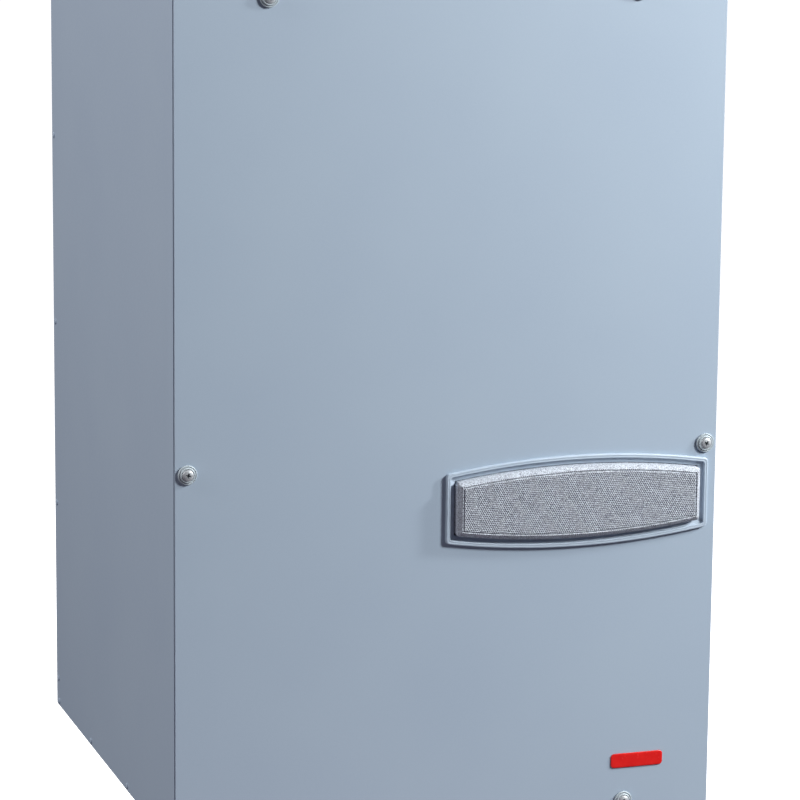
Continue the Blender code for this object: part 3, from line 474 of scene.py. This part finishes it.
def frame_on(axis):
    """Two directions at right angles to an axis and to each other."""
    axis = Vector(axis).normalized()
    side = Vector((0, 0, 1)) if abs(axis.z) < 0.5 else Vector((1, 0, 0))
    across = axis.cross(side).normalized()
    return across, axis.cross(across)


def turned(profile, centre, axis, sides=48, closed=True):
    """A turned body from (radius, distance along the axis) points. closed is for a ring, and a body whose
    profile starts and ends on the axis gets caps instead."""
    across, up = frame_on(axis)
    axis = Vector(axis).normalized()
    loops = []
    for radius, along in profile:
        loops.append(
            [
                Vector(centre) + axis * along + (across * math.cos(t) + up * math.sin(t)) * max(radius, 1e-5)
                for t in (2 * math.pi * i / sides for i in range(sides))
            ]
        )
    return lofted(loops, closed)


def merged(bodies):
    """Several (vertices, faces) bodies as one."""
    verts, faces = [], []
    for v, f in bodies:
        faces += [tuple(i + len(verts) for i in face) for face in f]
        verts += list(v)
    return verts, faces


def arc(centre, radius, start, end, steps):
    """Points on an arc, with angles in degrees."""
    return [
        (
            centre[0] + radius * math.cos(math.radians(start + (end - start) * i / steps)),
            centre[1] + radius * math.sin(math.radians(start + (end - start) * i / steps)),
        )
        for i in range(steps + 1)
    ]


def rounded_rectangle(width, height, corner, steps):
    """The outline of a rectangle with rounded corners, round the origin."""
    points = []
    for quarter in range(4):
        x = (width / 2 - corner) * (1 if quarter in (0, 3) else -1)
        z = (height / 2 - corner) * (1 if quarter in (0, 1) else -1)
        points += arc((x, z), corner, 90 * quarter, 90 * (quarter + 1), steps)
    return points


def middle(node, y=None):
    """The middle of a CAD node's box, or the point at y in line with it."""
    low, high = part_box(node)
    return Vector(((low.x + high.x) / 2, (low.y + high.y) / 2 if y is None else y, (low.z + high.z) / 2))


def in_millimetres(profile):
    return [(radius * MM, along * MM) for radius, along in profile]


def refined(node, width):
    """A copy of a CAD node with its edges rounded by width, which stands for it."""
    weld = 1e-6
    flat, sharp = math.radians(0.5), math.radians(28)
    source = frame["nodes"][node]
    bm = bmesh.new()
    bm.from_mesh(source.data)
    bmesh.ops.remove_doubles(bm, verts=bm.verts, dist=weld)
    bmesh.ops.dissolve_limit(bm, angle_limit=flat, verts=bm.verts, edges=bm.edges)
    bmesh.ops.bevel(
        bm,
        geom=[e for e in bm.edges if e.is_manifold and e.calc_face_angle(0) > sharp],
        offset=width,
        offset_type="OFFSET",
        segments=2,
        profile=0.5,
        affect="EDGES",
        clamp_overlap=True,
    )
    name = node + "_shape"
    mesh = bpy.data.meshes.new(name)
    bm.to_mesh(mesh)
    bm.free()
    slot = source.data.materials[0].name
    obj = placed(bpy.data.objects.new(name, mesh), source["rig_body"], slot, (node,), 50)
    obj.modifiers.new("even_shading", "WEIGHTED_NORMAL").keep_sharp = True


# ---------------------------------------------------------------- front cover


def bow_shape(inset):
    """The hatch outline, brought in by inset: its long arcs' radius and centre height, and its half width."""
    radius = (HATCH_HALF_WIDTH**2 + HATCH_BOW**2) / (2 * HATCH_BOW)
    return radius - inset, HATCH_MIDDLE - radius, HATCH_HALF_WIDTH - inset


def corner_centre(radius, centre, half_width, corner):
    """The centre of the arc that joins an upright end to a long arc."""
    x = half_width - corner
    return x, centre + math.sqrt((radius - corner) ** 2 - x**2)


def bow_outline(inset, bow_steps=72, corner_steps=6):
    """The hatch outline, brought in by inset, as points: upright ends and bowed long edges."""
    radius, centre, half_width = bow_shape(inset)
    corner = max(HATCH_CORNER - inset / 4, LEAST_CORNER)
    corner_x, corner_z = corner_centre(radius, centre, half_width, corner)
    meet = math.degrees(math.atan2(corner_z - centre, corner_x))
    upper = arc((corner_x, corner_z), corner, 0, meet, corner_steps)[:-1]
    upper += arc((0, centre), radius, meet, 180 - meet, bow_steps)
    upper += [(-x, z) for x, z in reversed(upper[:corner_steps])]
    return upper + [(x, -z) for x, z in reversed(upper)]


def hatch_loop(inset, proud):
    """The hatch outline in its place, brought in by inset and standing proud of the cover."""
    return [(HATCH.x + x, FRONT - proud, HATCH.z + z) for x, z in bow_outline(inset)]


def filter_bezel():
    """The hatch's frame: a rim with a fine groove, a sloping floor and a sleeve into the unit."""
    edge, lip = 1.4 * MM, 0.9 * MM  # the radii of the rim's outer and inner edges
    rim_inside = 4.6 * MM
    groove = RIM_TOP - 0.15 * MM
    profile = [(0, GAP)]
    profile += arc((edge, RIM_TOP - edge), edge, 180, 90, 6)
    profile += [(2.2 * MM, RIM_TOP), (2.4 * MM, groove), (2.8 * MM, groove), (3.0 * MM, RIM_TOP)]
    profile += arc((rim_inside - lip, RIM_TOP - lip), lip, 90, 0, 5)
    # The floor slopes down to the opening, and the sleeve goes in from there.
    profile += in_millimetres([(4.7, 1.5), (5.0, 1.3), (9.2, 0.5), (9.7, 0.2), (9.7, -5), (8.5, -5)])
    profile += [(8.5 * MM, GAP)]
    frame_body = lofted([hatch_loop(inset, proud) for inset, proud in profile], closed=True)
    piece("filter_bezel_frame", *frame_body, "cover", "bezel_plastic", ("filter_bezel",), 40)


def smooth_step(values, low, high):
    """From 0 at low to 1 at high, level at both ends."""
    t = np.clip((values - low) / (high - low), 0, 1)
    return t * t * (3 - 2 * t)


def cap_depth(x, z, inside):
    """How far the cap's face lies behind its foremost plane, at a distance inside its outline."""
    bevel, bevel_depth = 4.8 * MM, 4.3 * MM
    edge, edge_depth = 1.0 * MM, 0.6 * MM
    groove_at, groove_spread, groove_depth = 6.2 * MM, 0.7 * MM, 1.0 * MM
    ridge = 0.35 * MM  # how much further out the field of dimples is than the border
    dimple_depth = 0.75 * MM
    swell_depth = 0.05 * MM
    depth = ridge + bevel_depth * np.clip(1 - inside / bevel, 0, 1)
    depth += edge_depth * (1 - smooth_step(inside, 0, edge))
    depth += groove_depth * np.exp(-(((inside - groove_at) / groove_spread) ** 2))
    depth -= ridge * smooth_step(inside, 6.4 * MM, 7.2 * MM)
    lattice = sum(np.cos(CAP_WAVE * (x * math.sin(turn) + z * math.cos(turn))) for turn in CAP_TURNS)
    dimple = np.clip((lattice + 0.9) / 3.9, 0, 1)
    depth += dimple_depth * dimple * smooth_step(inside, 7.3 * MM, 8.1 * MM)
    swell = np.sin(x / (17 * MM) + 0.6) * np.cos(z / (11 * MM) - 0.3)
    swell += 0.6 * np.sin(x / (6.1 * MM)) * np.sin(z / (7.3 * MM))
    return depth + swell_depth * (swell + 1.6)


def cap_pits(half_width, half_height):
    """Small craters where a bead is missing: place, radius and depth."""
    generator = random.Random(PIT_SEED)
    return [
        (
            generator.uniform(-half_width, half_width),
            generator.uniform(-half_height, half_height),
            generator.uniform(0.6, 1.3) * MM,
            generator.uniform(0.5, 1.2) * MM,
        )
        for _ in range(PIT_COUNT)
    ]


def filter_cap():
    """The hatch's foam block: bevelled edges, a border groove and a finely dimpled face."""
    radius, centre, half_width = bow_shape(CAP_INSET)
    corner = CAP_CORNER
    columns = int(2 * half_width / CAP_STEP)
    rows = int(2 * (centre + radius) / CAP_STEP)
    x = np.linspace(-half_width, half_width, columns + 1)
    corner_x, corner_z = corner_centre(radius, centre, half_width, corner)
    turn = corner_x * radius / (radius - corner)  # where the long arc meets the corner's arc
    long_arc = centre + np.sqrt(radius**2 - np.minimum(np.abs(x), turn) ** 2)
    corner_arc = corner_z + np.sqrt(np.maximum(corner**2 - np.maximum(np.abs(x) - corner_x, 0) ** 2, 0))
    top = np.where(np.abs(x) < turn, long_arc, corner_arc)
    share = np.linspace(-1, 1, rows + 1)
    grid_x = np.repeat(x[:, None], rows + 1, 1)
    grid_z = top[:, None] * share[None, :]
    to_arc = radius - np.hypot(grid_x, np.abs(grid_z) - centre)
    past_x, past_z = np.abs(grid_x) - corner_x, np.abs(grid_z) - corner_z
    to_corner = np.where((past_x > 0) & (past_z > 0), corner - np.hypot(past_x, past_z), to_arc)
    inside = np.minimum(np.minimum(to_arc, half_width - np.abs(grid_x)), to_corner).clip(0)
    depth = cap_depth(grid_x, grid_z, inside)
    for pit_x, pit_z, pit_radius, pit_depth in cap_pits(half_width, top.max()):
        reach = np.hypot(grid_x - pit_x, grid_z - pit_z)
        depth += pit_depth * (1 - smooth_step(reach, 0.35 * pit_radius, pit_radius))
    points = np.stack([grid_x + HATCH.x, CAP_LOW.y + depth, grid_z + HATCH.z], -1).reshape(-1, 3)
    faces = []
    for i in range(columns):
        start = i * (rows + 1)
        faces += [(start + j, start + rows + 1 + j, start + rows + 2 + j, start + j + 1) for j in range(rows)]
    last = columns * (rows + 1)
    rim = [i * (rows + 1) for i in range(columns)] + [last + j for j in range(rows)]
    rim += [i * (rows + 1) + rows for i in range(columns, 0, -1)] + list(range(rows, 0, -1))
    verts = [tuple(p) for p in points]
    back = CAP_HIGH.y
    previous = rim  # the sides run from the face's rim to the back through rings of as many vertices
    for inset, y in ((0, back - 1.2 * MM), (0.35 * MM, back - 0.35 * MM), (1.2 * MM, back)):
        start = len(verts)
        for k in rim:
            px, _, pz = verts[k]
            scale_x = 1 - inset / half_width
            scale_z = 1 - inset / top.max()
            verts.append((HATCH.x + (px - HATCH.x) * scale_x, y, HATCH.z + (pz - HATCH.z) * scale_z))
        ring = list(range(start, start + len(rim)))
        for k in range(len(rim)):
            after = (k + 1) % len(rim)
            faces.append((previous[k], previous[after], ring[after], ring[k]))
        previous = ring
    faces.append(tuple(reversed(previous)))
    piece("filter_cap_block", verts, faces, "cap", "cap_foam", ("filter_cap",), 60)


def badge():
    """A blank red plate with a domed face."""
    low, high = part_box("badge")
    centre = (low + high) / 2
    width, height = high.x - low.x, high.z - low.z
    thick = high.y - low.y
    corner = 4 * MM
    loops = []
    for inset, rise in ((0, 0), (0, 0.5), (0.25 * MM, 0.8), (0.8 * MM, 0.95), (2.5 * MM, 1.0)):
        outline = rounded_rectangle(width - 2 * inset, height - 2 * inset, corner - inset, 8)
        loops.append([(centre.x + x, high.y - thick * rise, centre.z + z) for x, z in outline])
    piece("badge_plate", *lofted(loops), "cover", "badge_red", ("badge",), 40)


def cup_washer(where):
    """A cupped washer: a rolled rim, a groove and a raised ring round the screw's head."""
    node = f"cup_washer_{where}"
    profile = [(3.4, 0.3), (9.6, 0.3), (10.1, 0.5), (10.2, 0.9), (10.15, 1.9), (9.85, 2.45), (9.35, 2.65)]
    profile += [(8.95, 2.5), (8.7, 2.05), (8.5, 1.9), (8.3, 2.05), (8.15, 3.0), (7.95, 3.55), (7.6, 3.8)]
    profile += [(7.2, 3.9), (6.7, 3.9), (6.35, 3.8), (6.25, 3.5), (6.25, 2.6), (3.4, 2.6)]
    body = turned(in_millimetres(profile), middle(node, FRONT), (0, -1, 0), 64)
    piece(f"washer_{where}", *body, "cover", "washer_metal", (node,), 60)


def cross_cutter(centre, turn):
    """The two arms of a tapered cross, for a screw's recess."""
    arms = []
    for quarter in (0, 90):
        rotate = Matrix.Rotation(math.radians(quarter + turn), 4, "Y")
        loops = []
        for length, width, height in ((1.1, 0.4, 0.4), (2.0, 0.7, 3.6), (2.8, 0.9, 5.8), (3.1, 1.0, 7.0)):
            corners = ((-length, -width), (length, -width), (length, width), (-length, width))
            loops.append([centre + rotate @ Vector((a * MM, -height * MM, b * MM)) for a, b in corners])
        arms.append(lofted(loops))
    return arms


def cut(obj, verts, faces):
    """Cuts a body from obj with the exact solver and keeps the result."""
    cutter = bpy.data.objects.new("cutter", closed_mesh("cutter", verts, faces))
    bpy.context.scene.collection.objects.link(cutter)
    change = obj.modifiers.new("cut", "BOOLEAN")
    change.operation, change.object, change.solver = "DIFFERENCE", cutter, "EXACT"
    graph = bpy.context.evaluated_depsgraph_get()
    result = bpy.data.meshes.new_from_object(obj.evaluated_get(graph))
    obj.modifiers.clear()
    obj.data = result
    bpy.data.objects.remove(cutter)
    shade(obj, 35)


def cover_screw(where, turn):
    """A domed screw with a real cross recess, its shank and its pointed end."""
    node = f"cover_screw_{where}"
    centre = middle(node, FRONT)
    root, shank = 2.3, 2.9  # radii of the thread, in millimetres like all of the profile
    thread_start, thread_pitch, threads = -14.0, 1.5, 9
    head, dome_from, dome_height = 6.1, 3.7, 2.35
    profile = [(0, -17.5), (0.5, -17.2), (2.2, -14.5)]
    for i in range(threads):
        at = thread_start + i * thread_pitch
        profile += [(root, at), (shank, at + 0.55), (shank, at + 0.75), (root, at + 1.3)]
    profile += [(shank, 2.95), (5.4, 3.0), (6.05, 3.15), (6.2, 3.4), (head, dome_from)]
    for t in (math.pi / 2 * i / 9 for i in range(1, 9)):
        profile.append((head * math.cos(t), dome_from + dome_height * math.sin(t)))
    profile.append((0, 6.05))
    body = turned(in_millimetres(profile), centre, (0, -1, 0), 48, closed=False)
    obj = piece(f"screw_{where}", *body, "cover", "zinc", (node,), 35)
    for arm in cross_cutter(centre, turn):
        cut(obj, *arm)


def rivets(side, sign):
    """The blind rivets that hold a side panel to the back, the top and the bottom."""
    shape = ((0, -0.06), (1, -0.06), (1, 0.5), (0.93, 0.75), (0.7, 0.93), (0.38, 1), (0.32, 0.7), (0, 0.66))
    profile = [(across * RIVET_RADIUS, along * RIVET_HEIGHT) for across, along in shape]
    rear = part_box("back_panel")[1].y - RIVET_REAR
    places = [(rear, BASE + z) for z in RIVET_HEIGHTS]
    for z in (BASE + RIVET_INSET, COVER_HIGH.z - RIVET_INSET):
        places += [(FRONT + depth, z) for depth in RIVET_DEPTHS]
    bodies = [turned(profile, (sign * SIDE_X, y, z), (sign, 0, 0), 20, closed=False) for y, z in places]
    piece(f"{side}_panel_rivets", *merged(bodies), "cabinet", "powder_coat", (), 50)


def front_cover():
    refined("front_cover", 0.5 * MM)
    refined("front_gasket", 0.6 * MM)
    refined("front_insulation", 1.5 * MM)
    filter_bezel()
    filter_cap()
    badge()
    for where, turn in SCREWS.items():
        cup_washer(where)
        cover_screw(where, turn)


# ---------------------------------------------------------------- cabinet


def cabinet():
    for node in ("back_panel", "left_side_panel", "right_side_panel", "bottom_panel", "top_panel"):
        refined(node, 0.3 * MM)
    for side, sign in (("left", -1), ("right", 1)):
        rivets(side, sign)
    for node in ("wall_bracket", "hanging_rail"):
        refined(node, 0.5 * MM)
    for side in SIDES:
        refined(f"wall_buffer_{side}", 1.5 * MM)
    for node in ("condensate_tray", "condensate_drain", "cable_gland"):
        refined(node, 0.5 * MM)


def spigot(duct):
    """A duct collar with a rolled top, a stiffening bead and a lip seal."""
    node = f"{duct}_spigot"
    refined(node, 0.6 * MM)
    centre, top = middle(node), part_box(node)[1].z
    centre.z = 0
    outer = 79 * MM
    ring = [(outer + GAP, top - 19 * MM)]
    for drop in (15, 11):
        at = top - drop * MM
        ring += [(outer + 0.9 * MM, at - 2.4 * MM), (outer + 3.3 * MM, at - 3.3 * MM)]
        ring += [(outer + 3.5 * MM, at - 2.8 * MM), (outer + 0.9 * MM, at - 0.6 * MM)]
    ring += [(outer + GAP, top - 10.5 * MM)]
    piece(f"{duct}_lip_seal", *turned(ring, centre, (0, 0, 1), 96), "cabinet", "gasket_rubber", (), 40)


# ---------------------------------------------------------------- inside


def foam_blocks():
    for node in ("lower_foam_block", "upper_foam_block"):
        refined(node, 1.2 * MM)


def diamond_loop(half_side, y, centre):
    """A square on its corner."""
    reach = half_side * math.sqrt(2)
    return [(centre.x + reach * a, y, centre.z + reach * b) for a, b in ((1, 0), (0, 1), (-1, 0), (0, -1))]


def exchanger():
    """The cross-flow core: a stack of thin plates, with every other slot of each face closed by a strip."""
    low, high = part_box("exchanger_core")
    centre = (low + high) / 2
    half = (high.x - low.x) / 2 / math.sqrt(2)
    pitch, plate, strip = 3.0 * MM, 0.5 * MM, 1.5 * MM
    count = int((high.y - low.y) / pitch)
    pitch = (high.y - low.y - plate) / count
    turn = Matrix.Rotation(math.radians(45), 3, "Y")
    bodies = []
    for i in range(count + 1):
        y = low.y + i * pitch
        bodies.append(lofted([diamond_loop(half, y, centre), diamond_loop(half, y + plate, centre)]))
        if i == count:
            break
        for sign in (-1, 1):
            near, far = sorted((sign * half, sign * (half - strip)))
            left, right, low_side, high_side = (near, far, -half, half) if i % 2 else (-half, half, near, far)
            corners = [(left, low_side), (right, low_side), (right, high_side), (left, high_side)]
            loops = []
            for at in (y + plate, y + pitch):
                loops.append([centre + turn @ Vector((a, at - centre.y, b)) for a, b in corners])
            bodies.append(lofted(loops))
    piece("exchanger_plates", *merged(bodies), "exchanger", "exchanger_plastic", ("exchanger_core",), 30)
    for end in ("front", "rear"):
        refined(f"exchanger_{end}_frame", 1.2 * MM)
    refined("exchanger_strap", 0.3 * MM)
    for side in SIDES:
        refined(f"exchanger_rail_{side}", 0.5 * MM)


def filter_media(side):
    """A pleated fleece: a zigzag sheet that fills the frame."""
    node = f"{side}_filter_media"
    low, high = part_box(node)
    pleat = 11 * MM
    count = 2 * round((high.y - low.y) / pleat)
    thick = 1.2 * MM
    upper, lower = [], []
    for i in range(count + 1):
        y = low.y + (high.y - low.y) * i / count
        up = i % 2
        upper.append((y, high.z - thick * 0.2 if up else low.z + 2.2 * thick))
        lower.append((y, high.z - 2.2 * thick if up else low.z + thick * 0.2))
    outline = upper + lower[::-1]
    n = len(outline)
    verts = [(x, y, z) for x in (low.x, high.x) for y, z in outline]
    faces = [(i, (i + 1) % n, n + (i + 1) % n, n + i) for i in range(n)]
    for k in range(count):
        a, b = k, k + 1
        c, d = n - 1 - k, n - 2 - k
        faces += [(a, b, d, c), (n + c, n + d, n + b, n + a)]
    piece(f"{side}_filter_pleats", verts, faces, FILTER_BODY[side], "filter_fleece", (node,), 30)
    refined(f"{side}_filter_frame", 0.6 * MM)


def fan(name):
    for part, width in (("scroll", 0.8), ("inlet", 0.8), ("wheel", 0.3), ("motor", 1.0)):
        refined(f"{name}_fan_{part}", width * MM)


def controls():
    """The control box with its lid's screws, and the bypass."""
    for node in ("control_box", "control_box_lid", "circuit_board"):
        refined(node, 0.4 * MM)
    for node in ("bypass_frame", "bypass_flap", "bypass_actuator"):
        refined(node, 0.4 * MM)
    low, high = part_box("control_box_lid")
    inset = 9 * MM
    profile = in_millimetres([(0, 0.0), (3.2, 0.0), (3.2, 1.0), (2.6, 1.7), (1.4, 2.1), (0, 2.2)])
    places = [(x, z) for x in (low.x + inset, high.x - inset) for z in (low.z + inset, high.z - inset)]
    screws = [turned(profile, (x, low.y, z), (0, -1, 0), 20, closed=False) for x, z in places]
    piece("control_box_screws", *merged(screws), "cabinet", "zinc", (), 35)


# ---------------------------------------------------------------- stage


def soft_light(name, offset, size, power, colour=(1, 1, 1)):
    """A rectangular lamp at an offset from the cover's middle, facing it."""
    aim = (COVER_LOW + COVER_HIGH) / 2
    at = aim + Vector(offset)
    data = bpy.data.lights.new(name, "AREA")
    data.shape = "RECTANGLE"
    data.size, data.size_y = size
    data.energy = power
    data.color = colour
    lamp = bpy.data.objects.new(name, data)
    lamp.location = at
    lamp.visible_camera = False
    lamp.rotation_euler = (aim - at).to_track_quat("-Z", "Y").to_euler()
    bpy.context.scene.collection.objects.link(lamp)


def studio():
    """Two lamps from the upper right, fills from the left, below and behind, and a dim room before white."""
    soft_light("key", (2.1, -1.63, 1.5), (0.7, 0.7), 135, (0.975, 0.985, 0.955))
    soft_light("graze", (2.53, -0.70, 1.32), (0.25, 0.25), 60, (0.985, 0.975, 0.95))
    soft_light("fill_left", (-3.0, 0.15, 1.9), (1.6, 1.6), 100, (0.98, 0.95, 0.925))
    soft_light("bounce", (-0.2, -0.45, -0.93), (0.9, 0.5), 1.2, (1.0, 0.86, 0.9))
    soft_light("fill_back", (0.4, 3.2, 1.6), (2.4, 1.6), 70)
    world = bpy.data.worlds.new("studio")
    bpy.context.scene.world = world
    world.use_nodes = True
    tree = world.node_tree
    seen = tree.nodes.new("ShaderNodeLightPath").outputs["Is Camera Ray"]
    tint = tree.nodes.new("ShaderNodeMix")
    tint.data_type = "RGBA"
    tint.inputs[6].default_value = (0.070, 0.064, 0.086, 1)  # the dim room that lights the unit
    tint.inputs[7].default_value = (1, 1, 1, 1)  # the white behind it
    tree.links.new(seen, tint.inputs[0])
    tree.links.new(tint.outputs[2], tree.nodes["Background"].inputs["Color"])


def floor():
    """A pale floor well below the unit, bright enough to run into the white behind it."""
    drop, reach = 0.55, 30.0
    z = CAD_BOX[0][2] - drop
    mesh = bpy.data.meshes.new("floor")
    corners = [(-reach, -reach, z), (reach, -reach, z), (reach, reach, z), (-reach, reach, z)]
    mesh.from_pydata(corners, [], [(0, 1, 2, 3)])
    obj = bpy.data.objects.new("floor", mesh)
    bpy.context.scene.collection.objects.link(obj)
    material = bpy.data.materials.new("floor_white")
    material.use_nodes = True
    shader = material.node_tree.nodes["Principled BSDF"]
    shader.inputs["Base Color"].default_value = (0.85, 0.85, 0.85, 1)
    shader.inputs["Roughness"].default_value = 0.9
    shader.inputs["Emission Color"].default_value = (1, 1, 1, 1)
    shader.inputs["Emission Strength"].default_value = 1.0
    mesh.materials.append(material)
    obj.visible_diffuse = False
    obj.visible_glossy = False


def camera():
    """Seen from the left and a little above, from some three and a half metres."""
    right_of_edge, above_base = 0.241, 0.5365  # where on the cover it is aimed
    aim = Vector((COVER_LOW.x + right_of_edge, FRONT, BASE + above_base))
    distance = 3.604
    yaw, pitch, roll = (math.radians(a) for a in (18.25, 10.67, 0.557))
    forward = Vector((math.sin(yaw) * math.cos(pitch), math.cos(yaw) * math.cos(pitch), -math.sin(pitch)))
    right = Vector((math.cos(yaw), -math.sin(yaw), 0))
    up = right.cross(forward)
    level = Matrix((right, up, -forward)).transposed().to_4x4()
    data = bpy.data.cameras.new("camera")
    data.lens = 156.4
    data.sensor_width = 36
    data.shift_y = -0.08
    data.clip_end = 200
    obj = bpy.data.objects.new("camera", data)
    obj.matrix_world = Matrix.Translation(aim - forward * distance) @ level @ Matrix.Rotation(roll, 4, "Z")
    bpy.context.scene.collection.objects.link(obj)
    bpy.context.scene.camera = obj


SLOT_OF = {name: node.data.materials[0].name for name, node in frame["nodes"].items()}
for imported in list(bpy.data.materials):
    imported.name = "frame_" + imported.name  # leaves the slots' own names free
MATERIALS = make_materials()
for name, node in frame["nodes"].items():
    node.data.materials[0] = MATERIALS[SLOT_OF[name]]

front_cover()
cabinet()
for duct in DUCTS:
    spigot(duct)
foam_blocks()
exchanger()
for side in SIDES:
    filter_media(side)
for name in FANS:
    fan(name)
controls()
studio()
floor()
camera()
bpy.context.scene.view_settings.view_transform = "Standard"
